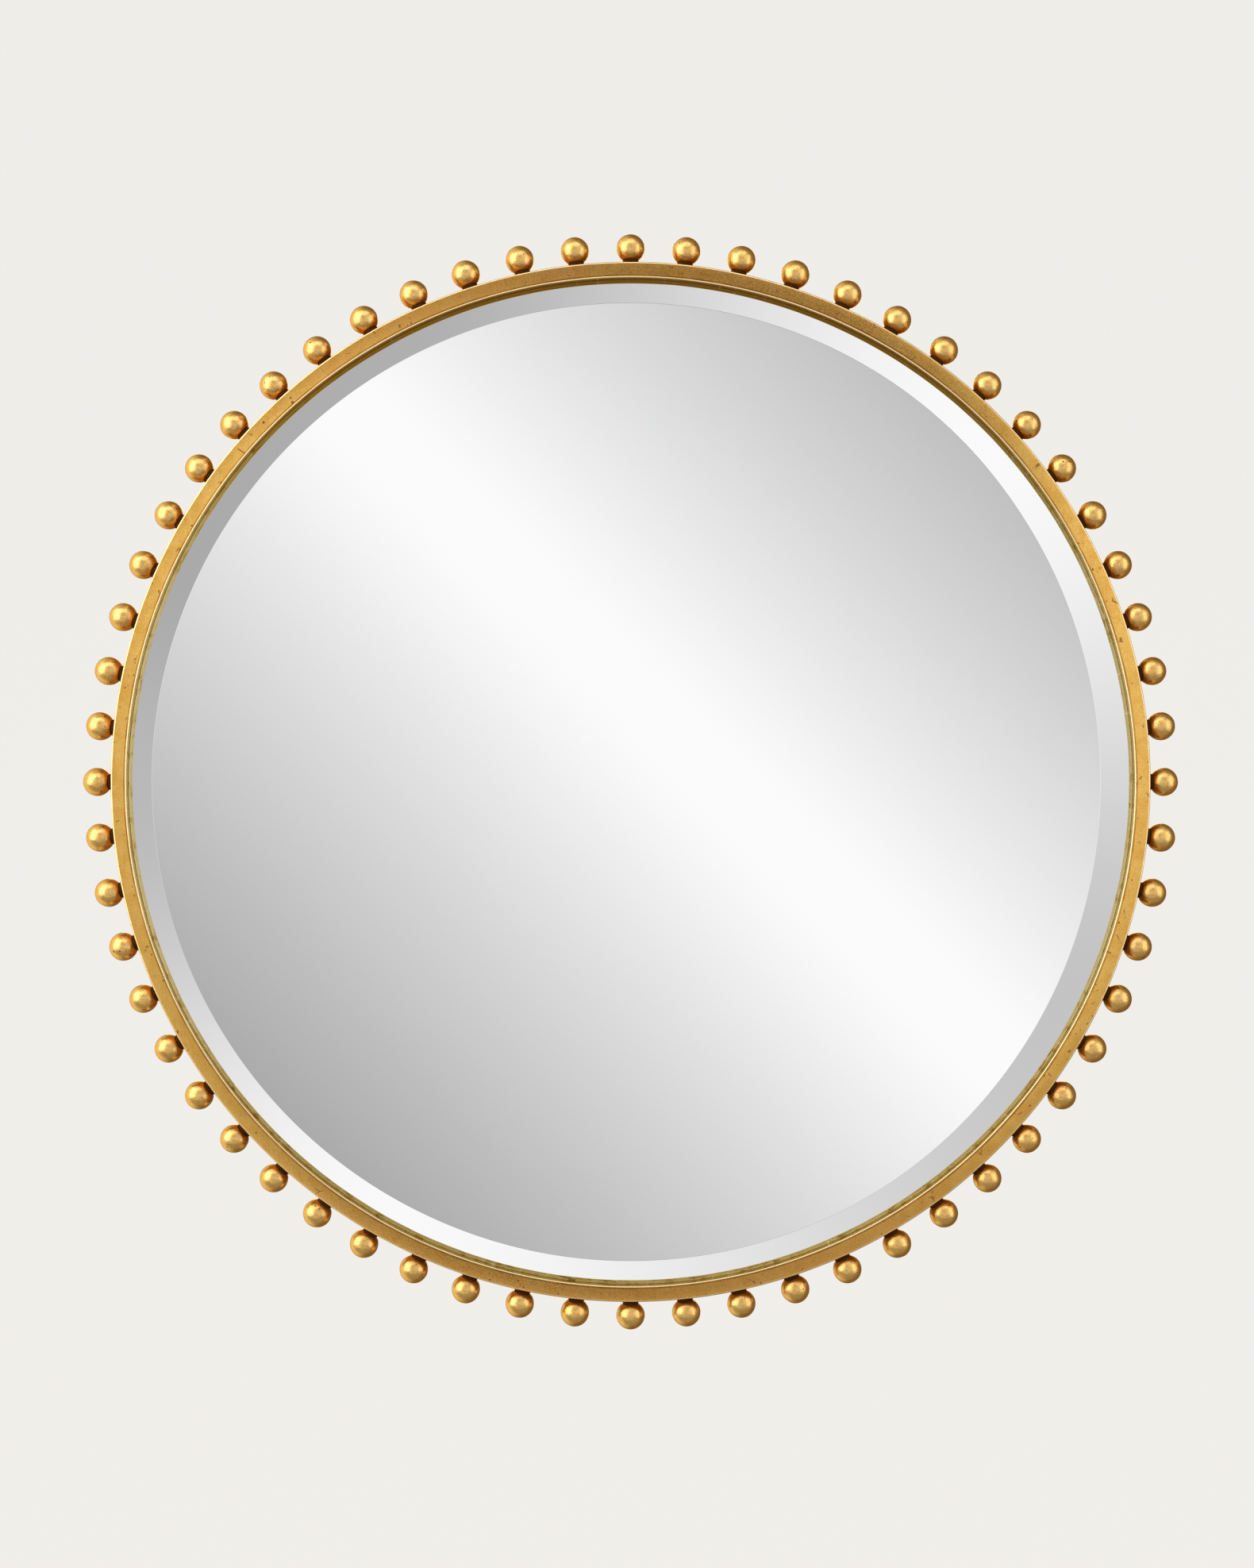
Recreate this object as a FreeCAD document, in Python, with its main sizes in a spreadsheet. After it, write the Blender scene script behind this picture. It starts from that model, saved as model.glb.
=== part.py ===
import FreeCAD, Part
import math
import os
import re

import Sketcher

# Round wall mirror with a bevelled pane, a slim gilt hoop and sixty balls that
# stand off the hoop on short collars. Millimetres. The mirror faces -Y, +Y points
# into the wall, +Z is up. The origin is on the wall plane, at the mirror's centre.

SIZES = {
    # the hoop, built up from three strips
    "frame_radius": 528.5,
    "frame_depth": 30.0,
    "band_wall": 2.0,
    "face_width": 16.0,
    "face_thickness": 2.0,
    "face_edge_radius": 1.6,
    "lip_wall": 1.5,
    "lip_proud": 0.4,
    # the balls and their collars
    "bead_diameter": 29.3,
    "bead_flat_diameter": 18.4,
    "collar_height": 4.6,
    "collar_flare": 0.5,
    # the pane and what holds it
    "edge_gap": 6.5,
    "pane_thickness": 5.0,
    "pane_edge_thickness": 2.2,
    "pane_arris": 0.5,
    "bevel_width": 31.8,
    "pane_recess": 9.5,
    "gasket_thickness": 0.8,
    "gasket_set_back": 0.4,
    "gasket_edge_inset": 1.1,
    "block_arc_degrees": 3.4,
    "block_angle_degrees": 27.0,
    "tape_width": 25.0,
    "tape_thickness": 1.0,
    "tape_side_gap": 180.0,
    "tape_end_gap": 80.0,
    "board_thickness": 6.0,
    "board_edge_chamfer": 1.0,
    # the clips that keep the board in the hoop
    "clip_sheet": 1.5,
    "clip_width": 20.0,
    "clip_foot_length": 22.0,
    "clip_wall_height": 7.0,
    "clip_bend_radius": 1.5,
    "clip_wall_gap": 0.3,
    "clip_first_degrees": 22.5,
    "clip_screw_inset": 15.5,
    # wood screws
    "screw_head_diameter": 7.0,
    "screw_head_height": 2.2,
    "screw_head_round": 0.9,
    "screw_shank_diameter": 3.4,
    "screw_length": 5.8,
    "screw_hole_clearance": 0.1,
    "pilot_spare_depth": 0.1,
    # hangers
    "hanger_edge_distance": 190.0,
    "hanger_height": 250.0,
    "strap_sheet": 1.5,
    "strap_width": 18.0,
    "strap_length": 52.0,
    "strap_end_radius": 6.0,
    "strap_eye_wrap_degrees": 285.0,
    "strap_first_screw": 29.0,
    "strap_screw_pitch": 15.0,
    "ring_wire_diameter": 3.5,
    "ring_play": 0.3,
    "ring_inner_width": 24.0,
    "ring_inner_reach": 20.0,
    "ring_corner_radius": 3.5,
    # rubber pads at the wall
    "bumper_diameter": 16.0,
    "bumper_edge_radius": 1.5,
    "bumper_offset": 180.0,
    "bumper_edge_distance": 45.0,
    "wall_stand_off": 1.0,
}

BEAD_COUNT = 60
CLIP_COUNT = 8
TAPE_COUNT = 5

# Places that follow from the sizes. The depths are Y values, front to back.
PLACES = {
    "rear_y": "-wall_stand_off",
    "front_y": "rear_y - frame_depth",
    "face_back_y": "front_y + face_thickness",
    "band_inner_radius": "frame_radius - band_wall",
    "opening_radius": "frame_radius - face_width",
    "lip_outer_radius": "opening_radius + lip_wall",
    "pane_radius": "band_inner_radius - edge_gap",
    "lip_round": "lip_wall / 2",
    "lip_front_y": "front_y - lip_proud",
    "pane_front_y": "front_y + pane_recess",
    "pane_back_y": "pane_front_y + pane_thickness",
    "pane_edge_y": "pane_back_y - pane_edge_thickness",
    "bevel_radius": "pane_radius - bevel_width",
    "bevel_slope": "(pane_thickness - pane_edge_thickness) / bevel_width",
    "gasket_inner_radius": "opening_radius + gasket_set_back",
    "gasket_outer_radius": "pane_radius - gasket_edge_inset",
    "gasket_inner_y": "pane_front_y + (gasket_inner_radius - bevel_radius) * bevel_slope",
    "gasket_outer_y": "pane_front_y + (gasket_outer_radius - bevel_radius) * bevel_slope",
    "lip_back_y": "gasket_inner_y - gasket_thickness",
    "board_front_y": "pane_back_y + tape_thickness",
    "board_back_y": "board_front_y + board_thickness",
    "tape_reach": "pane_radius - tape_end_gap",
    "bead_y": "rear_y - frame_depth / 2",
    "bead_radius": "bead_diameter / 2",
    "bead_flat_radius": "bead_flat_diameter / 2",
    "bead_seat": "sqrt(bead_radius ^ 2 - bead_flat_radius ^ 2)",
    "bead_flat_at": "frame_radius + collar_height",
    "bead_centre_at": "bead_flat_at + bead_seat",
    "clip_outer_radius": "sqrt((band_inner_radius - clip_wall_gap) ^ 2 - (clip_width / 2) ^ 2)",
    "clip_screw_radius": "clip_outer_radius - clip_screw_inset",
    "clip_back_y": "board_back_y + clip_sheet",
    "screw_head_radius": "screw_head_diameter / 2",
    "screw_shank_radius": "screw_shank_diameter / 2",
    "screw_hole_radius": "screw_shank_radius + screw_hole_clearance",
    "ring_wire_radius": "ring_wire_diameter / 2",
    "eye_inner_radius": "ring_wire_radius + ring_play",
    "eye_outer_radius": "eye_inner_radius + strap_sheet",
    "eye_tip_x": "-cos(strap_eye_wrap_degrees)",
    "eye_tip_y": "sin(strap_eye_wrap_degrees)",
    "hinge_y": "board_back_y + eye_outer_radius",
    "hanger_offset": "pane_radius - hanger_edge_distance",
    "ring_half_width": "ring_inner_width / 2 + ring_wire_radius",
    "ring_bow_centre": "-(ring_inner_reach + ring_wire_radius - ring_half_width)",
    "bumper_radius": "bumper_diameter / 2",
    "bumper_drop": "sqrt((pane_radius - bumper_edge_distance) ^ 2 - bumper_offset ^ 2)",
}

doc = FreeCAD.newDocument("bead_mirror")
sheet = doc.addObject("Spreadsheet::Sheet", "sizes")
for row, (name, number) in enumerate(SIZES.items(), start=1):
    sheet.set(f"A{row}", name)
    sheet.set(f"B{row}", str(number))
    sheet.setAlias(f"B{row}", name)
doc.recompute()

WORD = re.compile(r"[a-z_]+")


def formula(text):
    """The expression with every place and size written out as cells of the sheet."""
    def cell(found):
        word = found.group()
        if word in PLACES:
            return "(" + formula(PLACES[word]) + ")"
        return "sizes." + word if word in SIZES else word
    return WORD.sub(cell, text)


def worth(text):
    """The number that an expression has at the sheet's present sizes."""
    return float(sheet.evalExpression(formula(text)))


def origin_part(body, role):
    return next(item for item in body.Origin.OriginFeatures if item.Role == role)


def new_body(name):
    body = doc.addObject("PartDesign::Body", name)
    body.Label = name
    return body


def place(item, **base):
    """Moves a body or solid: place(body, x=..., y=..., z=...), each an expression."""
    for axis, text in base.items():
        item.setExpression(f"Placement.Base.{axis}", formula(text))


def attached_sketch(body, role, name, shift=None):
    sketch = body.newObject("Sketcher::SketchObject", name)
    sketch.AttachmentSupport = [(origin_part(body, role), "")]
    sketch.MapMode = "FlatFace"
    for axis, text in (shift or {}).items():
        sketch.setExpression(f"AttachmentOffset.Base.{axis}", formula(text))
    return sketch


def pin_point(sketch, edge, point, spot, skip=None):
    """Ties one point of a sketch to its two coordinates, or to the one not skipped."""
    for number, (kind, text) in enumerate(zip(("DistanceX", "DistanceY"), spot)):
        if number != skip:
            sketch.addConstraint(Sketcher.Constraint(kind, -1, 1, edge, point, worth(text)))
            sketch.setExpression(f"Constraints[{sketch.ConstraintCount - 1}]", formula(text))


def outline(body, role, name, corners, arcs=None, shift=None):
    """A closed, fully constrained sketch on one of the body's own planes.

    corners are pairs of expressions. arcs maps a corner's number to the arc that
    leaves it: (centre x, centre y, 1 for anticlockwise or -1 for clockwise).
    """
    arcs = arcs or {}
    sketch = attached_sketch(body, role, name, shift)
    spots = [FreeCAD.Vector(worth(x), worth(y), 0) for x, y in corners]
    ends = []
    loose = {}
    for index, start in enumerate(spots):
        following = (index + 1) % len(spots)
        end = spots[following]
        if index not in arcs:
            sketch.addGeometry(Part.LineSegment(start, end))
            ends.append((1, 2))
            continue
        centre_x, centre_y, turn = arcs[index]
        centre = FreeCAD.Vector(worth(centre_x), worth(centre_y), 0)
        first, last = (start, end) if turn > 0 else (end, start)
        angles = [math.atan2(spot.y - centre.y, spot.x - centre.x) for spot in (first, last)]
        circle = Part.Circle(centre, FreeCAD.Vector(0, 0, 1), (start - centre).Length)
        sketch.addGeometry(Part.ArcOfCircle(circle, angles[0], angles[1]))
        ends.append((1, 2) if turn > 0 else (2, 1))
        pin_point(sketch, index, 3, (centre_x, centre_y))
        # the arc already holds its far end on a circle, so one coordinate is enough there
        loose[following] = 0 if abs(end.x - centre.x) > abs(end.y - centre.y) else 1
    for index, (start_point, end_point) in enumerate(ends):
        following = (index + 1) % len(ends)
        joint = Sketcher.Constraint("Coincident", index, end_point, following, ends[following][0])
        sketch.addConstraint(joint)
        pin_point(sketch, index, start_point, corners[index], skip=loose.get(index))
    return sketch


def circles(body, role, name, centres, radius, shift=None):
    """A sketch of equal circles on one of the body's own planes."""
    sketch = attached_sketch(body, role, name, shift)
    for index, centre in enumerate(centres):
        spot = FreeCAD.Vector(worth(centre[0]), worth(centre[1]), 0)
        sketch.addGeometry(Part.Circle(spot, FreeCAD.Vector(0, 0, 1), worth(radius)))
        pin_point(sketch, index, 3, centre)
        sketch.addConstraint(Sketcher.Constraint("Radius", index, worth(radius)))
        sketch.setExpression(f"Constraints[{sketch.ConstraintCount - 1}]", formula(radius))
    return sketch


def revolve(body, sketch, axis="V_Axis", degrees=None):
    turned = body.newObject("PartDesign::Revolution", "turned")
    turned.Profile = sketch
    turned.ReferenceAxis = (sketch, [axis])
    turned.Angle = 360
    if degrees:
        turned.Midplane = True
        turned.setExpression("Angle", formula(degrees))
    return turned


def pad(body, sketch, length):
    raised = body.newObject("PartDesign::Pad", "raised")
    raised.Profile = sketch
    raised.Midplane = True
    raised.setExpression("Length", formula(length))
    return raised


def ring_pattern(body, feature, count):
    """Copies of a feature all the way round the mirror's axis."""
    pattern = body.newObject("PartDesign::PolarPattern", "round_the_mirror")
    pattern.Originals = [feature]
    pattern.Axis = (origin_part(body, "Y_Axis"), [""])
    pattern.Angle = 360
    pattern.Occurrences = count
    body.Tip = pattern
    return pattern


def outer_band():
    body = new_body("outer_band")
    section = outline(body, "XY_Plane", "band_section", [
        ("band_inner_radius", "face_back_y"),
        ("frame_radius", "face_back_y"),
        ("frame_radius", "rear_y"),
        ("band_inner_radius", "rear_y"),
    ])
    revolve(body, section)
    return body


def face_ring():
    body = new_body("face_ring")
    section = outline(body, "XY_Plane", "face_section", [
        ("lip_outer_radius", "front_y"),
        ("frame_radius - face_edge_radius", "front_y"),
        ("frame_radius", "front_y + face_edge_radius"),
        ("frame_radius", "face_back_y"),
        ("lip_outer_radius", "face_back_y"),
    ], arcs={1: ("frame_radius - face_edge_radius", "front_y + face_edge_radius", 1)})
    revolve(body, section)
    return body


def inner_band():
    """The strip that lines the opening. Its front edge is rolled round."""
    body = new_body("inner_band")
    section = outline(body, "XY_Plane", "lip_section", [
        ("opening_radius", "lip_back_y"),
        ("opening_radius", "lip_front_y + lip_round"),
        ("lip_outer_radius", "lip_front_y + lip_round"),
        ("lip_outer_radius", "lip_back_y"),
    ], arcs={1: ("opening_radius + lip_round", "lip_front_y + lip_round", 1)})
    revolve(body, section)
    return body


def glazing_gasket():
    """A wedge of dark foam that fills between the lip's edge and the sloping bevel."""
    body = new_body("glazing_gasket")
    section = outline(body, "XY_Plane", "gasket_section", [
        ("gasket_inner_radius", "lip_back_y"),
        ("gasket_outer_radius", "lip_back_y"),
        ("gasket_outer_radius", "gasket_outer_y"),
        ("gasket_inner_radius", "gasket_inner_y"),
    ])
    revolve(body, section)
    return body


def mirror_glass():
    body = new_body("mirror_glass")
    section = outline(body, "XY_Plane", "pane_section", [
        ("0", "pane_front_y"),
        ("bevel_radius", "pane_front_y"),
        ("pane_radius", "pane_edge_y"),
        ("pane_radius", "pane_back_y - pane_arris"),
        ("pane_radius - pane_arris", "pane_back_y"),
        ("0", "pane_back_y"),
    ])
    revolve(body, section)
    return body


def edge_block(number, turn):
    """A rubber block between the hoop and the edges of pane and board, which it carries."""
    body = new_body(f"edge_block_{number + 1}")
    section = outline(body, "XY_Plane", "block_section", [
        ("pane_radius", "pane_edge_y"),
        ("band_inner_radius", "pane_edge_y"),
        ("band_inner_radius", "board_back_y"),
        ("pane_radius", "board_back_y"),
    ])
    revolve(body, section, degrees="block_arc_degrees")
    turn_round_the_mirror(body, turn)
    return body


def mounting_tape(number):
    """One of the upright foam strips between pane and board, as long as its chord allows."""
    strip = doc.addObject("Part::Box", f"mounting_tape_{number + 1}")
    strip.Label = strip.Name
    steps_each_side = (TAPE_COUNT - 1) / 2
    middle = f"({number / steps_each_side - 1} * (pane_radius - tape_side_gap))"
    half_length = f"sqrt(tape_reach ^ 2 - (abs({middle}) + tape_width / 2) ^ 2)"
    strip.setExpression("Length", formula("tape_width"))
    strip.setExpression("Width", formula("tape_thickness"))
    strip.setExpression("Height", formula("2 * " + half_length))
    place(strip, x=middle + " - tape_width / 2", y="pane_back_y", z="-" + half_length)
    return strip


def backing_board():
    body = new_body("backing_board")
    section = outline(body, "XY_Plane", "board_section", [
        ("0", "board_front_y"),
        ("pane_radius", "board_front_y"),
        ("pane_radius", "board_back_y - board_edge_chamfer"),
        ("pane_radius - board_edge_chamfer", "board_back_y"),
        ("0", "board_back_y"),
    ])
    revolve(body, section)
    on_the_back = {"z": "-(board_back_y)"}
    clip_spot = ("clip_screw_radius * cos(clip_first_degrees)",
                 "-(clip_screw_radius * sin(clip_first_degrees))")
    clip_hole = circles(body, "XZ_Plane", "clip_hole", [clip_spot],
                        "screw_hole_radius", on_the_back)
    drilled = drill(body, clip_hole, "screw_length - clip_sheet + pilot_spare_depth")
    ring_pattern(body, drilled, CLIP_COUNT)
    hanger_holes = circles(body, "XZ_Plane", "hanger_holes", hanger_screw_spots(),
                           "screw_hole_radius", on_the_back)
    drill(body, hanger_holes, "screw_length - strap_sheet + pilot_spare_depth")
    return body


def hanger_screw_spots():
    """Where the hangers' screws stand, as x and z on the board."""
    heights = ["hanger_height - strap_first_screw",
               "hanger_height - strap_first_screw - strap_screw_pitch"]
    return [(side + "hanger_offset", height) for side in ("-", "") for height in heights]


def drill(body, sketch, depth=None):
    """Blind holes towards the front, or holes right through where no depth is given."""
    hole = body.newObject("PartDesign::Pocket", "drilled")
    hole.Profile = sketch
    if depth is None:
        hole.Type = "ThroughAll"
        hole.Midplane = True
    else:
        hole.Reversed = True
        hole.setExpression("Length", formula(depth))
    return hole


def turn_round_the_mirror(body, degrees):
    """Swings a body about the mirror's axis, clockwise as seen from the front."""
    body.Placement.Rotation = FreeCAD.Rotation(FreeCAD.Vector(0, 1, 0), worth(degrees))
    body.setExpression("Placement.Rotation.Angle", formula(degrees))


def retaining_clip(number):
    """A bent clip: one leg on the hoop's wall, one foot over the board."""
    body = new_body(f"retaining_clip_{number + 1}")
    bend_centre = ("clip_outer_radius - clip_sheet - clip_bend_radius",
                   "clip_back_y + clip_bend_radius")
    section = outline(body, "XY_Plane", "clip_section", [
        ("clip_outer_radius - clip_foot_length", "board_back_y"),
        (bend_centre[0], "board_back_y"),
        ("clip_outer_radius", bend_centre[1]),
        ("clip_outer_radius", "board_back_y + clip_wall_height"),
        ("clip_outer_radius - clip_sheet", "board_back_y + clip_wall_height"),
        ("clip_outer_radius - clip_sheet", bend_centre[1]),
        (bend_centre[0], "clip_back_y"),
        ("clip_outer_radius - clip_foot_length", "clip_back_y"),
    ], arcs={1: (*bend_centre, 1), 5: (*bend_centre, -1)})
    pad(body, section, "clip_width")
    foot_hole = circles(body, "XZ_Plane", "foot_hole", [("clip_screw_radius", "0")],
                        "screw_hole_radius")
    drill(body, foot_hole)
    turn_round_the_mirror(body, f"clip_first_degrees + {number} * {360 / CLIP_COUNT}")
    return body


def screw(body, seat_y, x, z="0"):
    """A pan-head screw whose head sits at seat_y and whose tip points to the front."""
    round_centre = ("screw_head_radius - screw_head_round",
                    f"{seat_y} + screw_head_height - screw_head_round")
    section = outline(body, "XY_Plane", "screw_section", [
        ("0", f"{seat_y} - screw_length"),
        ("screw_shank_radius", f"{seat_y} - screw_length + screw_shank_radius"),
        ("screw_shank_radius", seat_y),
        ("screw_head_radius", seat_y),
        ("screw_head_radius", round_centre[1]),
        (round_centre[0], f"{seat_y} + screw_head_height"),
        ("0", f"{seat_y} + screw_head_height"),
    ], arcs={4: (*round_centre, 1)}, shift={"x": x, "z": z})
    return revolve(body, section)


def clip_screws():
    body = new_body("clip_screws")
    first = screw(body, "clip_back_y", "clip_screw_radius")
    ring_pattern(body, first, CLIP_COUNT)
    turn_round_the_mirror(body, "clip_first_degrees")
    return body


def hanger_screws():
    body = new_body("hanger_screws")
    for x, height in hanger_screw_spots():
        screw(body, "board_back_y + strap_sheet", x, height)
    return body


def hanger_strap(side, sign):
    """A strap whose upper end is curled into an eye. Its own origin is the hinge axis."""
    body = new_body(f"hanger_strap_{side}")
    profile = outline(body, "YZ_Plane", "strap_profile", [
        ("-(eye_outer_radius)", "-strap_length"),
        ("-(eye_outer_radius)", "0"),
        ("eye_outer_radius * eye_tip_x", "eye_outer_radius * eye_tip_y"),
        ("eye_inner_radius * eye_tip_x", "eye_inner_radius * eye_tip_y"),
        ("-(eye_inner_radius)", "0"),
        ("-(eye_inner_radius)", "-strap_length"),
    ], arcs={1: ("0", "0", -1), 3: ("0", "0", 1)})
    plate = pad(body, profile, "strap_width")
    screw_drops = ("strap_first_screw", "strap_first_screw + strap_screw_pitch")
    holes = circles(body, "XZ_Plane", "screw_holes", [("0", f"-({drop})") for drop in screw_drops],
                    "screw_hole_radius")
    drilled = drill(body, holes)
    doc.recompute()
    corners = edges_at(drilled, z=-worth("strap_length"), direction=FreeCAD.Vector(0, 1, 0))
    rounded = body.newObject("PartDesign::Fillet", "rounded_end")
    rounded.Base = (drilled, corners)
    rounded.setExpression("Radius", formula("strap_end_radius"))
    place(body, x=sign + "hanger_offset", y="hinge_y", z="hanger_height")
    return body


def edges_at(feature, z, direction):
    """Names of the straight edges that lie at one height and run one way."""
    names = []
    for number, edge in enumerate(feature.Shape.Edges, start=1):
        start, end = edge.firstVertex().Point, edge.lastVertex().Point
        along = (end - start).cross(direction).Length < 1e-6 < (end - start).Length
        if along and abs(start.z - z) < 1e-6 and abs(end.z - z) < 1e-6:
            names.append(f"Edge{number}")
    return names


def d_ring(side, sign):
    """A closed ring of bent wire, hanging from its bar. Its own origin is the hinge axis."""
    body = new_body(f"d_ring_{side}")
    bar_end = "(ring_half_width - ring_corner_radius)"
    route = outline(body, "XZ_Plane", "wire_route", [
        ("0", "0"),
        (bar_end, "0"),
        ("ring_half_width", "-ring_corner_radius"),
        ("ring_half_width", "ring_bow_centre"),
        ("-(ring_half_width)", "ring_bow_centre"),
        ("-(ring_half_width)", "-ring_corner_radius"),
        ("-" + bar_end, "0"),
    ], arcs={
        1: (bar_end, "-ring_corner_radius", -1),
        3: ("0", "ring_bow_centre", -1),
        5: ("-" + bar_end, "-ring_corner_radius", -1),
    })
    wire = circles(body, "YZ_Plane", "wire_section", [("0", "0")], "ring_wire_radius")
    bent = body.newObject("PartDesign::AdditivePipe", "bent_wire")
    bent.Profile = wire
    bent.Spine = (route, [])
    place(body, x=sign + "hanger_offset", y="hinge_y", z="hanger_height")
    return body


def wall_bumper(side, sign):
    body = new_body(f"wall_bumper_{side}")
    section = outline(body, "XY_Plane", "bumper_section", [
        ("0", "board_back_y"),
        ("bumper_radius", "board_back_y"),
        ("bumper_radius", "-bumper_edge_radius"),
        ("bumper_radius - bumper_edge_radius", "0"),
        ("0", "0"),
    ], arcs={2: ("bumper_radius - bumper_edge_radius", "-bumper_edge_radius", 1)})
    revolve(body, section)
    place(body, x=sign + "bumper_offset", z="-bumper_drop")
    return body


def beads():
    """The ring of balls, each cut flat towards the hoop."""
    body = new_body("beads")
    section = outline(body, "XY_Plane", "bead_section", [
        ("bead_flat_at", "0"),
        ("bead_flat_at", "bead_flat_radius"),
        ("bead_centre_at + bead_radius", "0"),
    ], arcs={1: ("bead_centre_at", "0", -1)}, shift={"y": "bead_y"})
    first = revolve(body, section, axis="H_Axis")
    ring_pattern(body, first, BEAD_COUNT)
    return body


def bead_collars():
    """The short necks between hoop and balls, a little wider at the hoop."""
    body = new_body("bead_collars")
    section = outline(body, "XY_Plane", "collar_section", [
        ("frame_radius", "0"),
        ("frame_radius", "bead_flat_radius + collar_flare"),
        ("bead_flat_at", "bead_flat_radius"),
        ("bead_flat_at", "0"),
    ], shift={"y": "bead_y"})
    first = revolve(body, section, axis="H_Axis")
    ring_pattern(body, first, BEAD_COUNT)
    return body


# The pieces, outside first, then the pane and what is behind it.
pieces = [outer_band(), face_ring(), inner_band(), beads(), bead_collars()]
pieces += [mirror_glass(), glazing_gasket()]
block_turns = ("90 - block_angle_degrees", "90 + block_angle_degrees",
               "270 - block_angle_degrees", "270 + block_angle_degrees")
pieces += [edge_block(number, turn) for number, turn in enumerate(block_turns)]
pieces += [mounting_tape(number) for number in range(TAPE_COUNT)]
pieces += [backing_board()]
pieces += [retaining_clip(number) for number in range(CLIP_COUNT)]
pieces += [clip_screws(), hanger_screws()]
for side, sign in (("left", "-"), ("right", "")):
    pieces += [hanger_strap(side, sign), d_ring(side, sign), wall_bumper(side, sign)]
doc.recompute()

for item in doc.Objects:
    if {"Invalid", "Error"} & set(item.State):
        raise RuntimeError(f"{item.Label} did not build: {item.State}")
for piece in pieces:
    if piece.Shape.isNull() or not piece.Shape.isValid():
        raise RuntimeError(f"{piece.Label} has no sound shape")

os.makedirs("parts", exist_ok=True)
for piece in pieces:
    piece.Shape.exportStep(f"parts/{piece.Label}.step")
    print(f"{piece.Label}: {len(piece.Shape.Solids)} solids, {piece.Shape.Volume:.0f} mm3")
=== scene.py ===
"""Looks of the round gilt mirror: leafed hoop, sixty balls, bevelled pane and rear hardware.

Metres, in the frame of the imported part: -Y is the front, +Z is up, the origin is on the wall plane.
"""
import math
import random
import bmesh
import bpy
from mathutils import Matrix, Vector, noise


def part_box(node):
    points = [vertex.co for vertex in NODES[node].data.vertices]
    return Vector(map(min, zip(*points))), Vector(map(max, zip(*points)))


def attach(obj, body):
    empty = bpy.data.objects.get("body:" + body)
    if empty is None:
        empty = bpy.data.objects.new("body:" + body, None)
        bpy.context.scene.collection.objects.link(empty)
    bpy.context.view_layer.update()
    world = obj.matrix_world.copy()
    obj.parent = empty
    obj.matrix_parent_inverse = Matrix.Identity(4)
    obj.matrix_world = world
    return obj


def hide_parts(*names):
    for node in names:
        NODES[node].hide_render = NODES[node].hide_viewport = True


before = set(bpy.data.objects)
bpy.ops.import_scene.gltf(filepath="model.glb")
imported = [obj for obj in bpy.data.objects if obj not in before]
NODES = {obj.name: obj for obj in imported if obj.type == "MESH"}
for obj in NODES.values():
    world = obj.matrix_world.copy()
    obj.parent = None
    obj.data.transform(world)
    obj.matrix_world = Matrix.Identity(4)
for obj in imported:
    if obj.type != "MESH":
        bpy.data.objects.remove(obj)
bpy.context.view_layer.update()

MM = 0.001
TURN = 2 * math.pi

# The photograph's frame and how the mirror sits in it.
PICTURE_WIDTH, PICTURE_HEIGHT = 1580, 1975
MIRROR_CENTRE_PX = (794.5, 984.8)
METRES_PER_PX = 0.80625 * MM
CAMERA_DISTANCE = 2.6
SENSOR = 36.0

# Places read from the CAD pieces.
FACE_LOW, FACE_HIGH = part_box("face_ring")
LIP_LOW, LIP_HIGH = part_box("inner_band")
PANE_LOW, PANE_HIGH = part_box("mirror_glass")
BALLS_LOW, BALLS_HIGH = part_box("beads")
FACE_FRONT, FACE_BACK = FACE_LOW.y, FACE_HIGH.y
HOOP_RADIUS = FACE_HIGH.x
LIP_OUTER_RADIUS = LIP_HIGH.x
BALL_RADIUS = (BALLS_HIGH.y - BALLS_LOW.y) / 2
BALL_CENTRE_AT = BALLS_HIGH.x - BALL_RADIUS
BALL_DEPTH = (BALLS_HIGH.y + BALLS_LOW.y) / 2

# Sizes that no box gives.
LIP_THICKNESS = 1.5 * MM
HOOP_THICKNESS = 2.0 * MM
OPENING_RADIUS = LIP_OUTER_RADIUS - LIP_THICKNESS
HOOP_INNER_RADIUS = HOOP_RADIUS - HOOP_THICKNESS
LEAF_OVER_NECK = 0.9 * MM       # the balls' leaf runs this far down the necks
BALL_SEAT_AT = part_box("bead_collars")[1].x - LEAF_OVER_NECK


# ---------------------------------------------------------------- node helpers

def node(tree, kind, inputs=None, **settings):
    """A shader node. inputs maps a socket's name or number to a value or to another socket."""
    made = tree.nodes.new("ShaderNode" + kind)
    for name, value in settings.items():
        setattr(made, name, value)
    for key, value in (inputs or {}).items():
        if isinstance(value, bpy.types.NodeSocket):
            tree.links.new(value, made.inputs[key])
        else:
            made.inputs[key].default_value = value
    return made


def maths(tree, operation, *values):
    return node(tree, "Math", dict(enumerate(values)), operation=operation).outputs[0]


def times(tree, first, second):
    return maths(tree, "MULTIPLY", first, second)


def scaled(tree, value, factor, offset):
    """value * factor + offset"""
    return maths(tree, "MULTIPLY_ADD", value, factor, offset)


def smooth_step(tree, value, low, high):
    """0 where value is at low, 1 where it is at high, eased between them."""
    ranged = node(tree, "MapRange", {"Value": value, "From Min": low, "From Max": high},
                  interpolation_type="SMOOTHSTEP")
    return ranged.outputs[0]


def between(tree, value, low, high, fade):
    """1 where value lies from low to high, falling to 0 over fade outside them."""
    rise = smooth_step(tree, value, low - fade, low)
    fall = smooth_step(tree, value, high + fade, high)
    return times(tree, rise, fall)


def blend(tree, factor, first, second):
    """Colour from first, at factor 0, to second, at factor 1."""
    mixed = node(tree, "Mix", {0: factor, 6: first, 7: second}, data_type="RGBA")
    return mixed.outputs[2]


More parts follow.
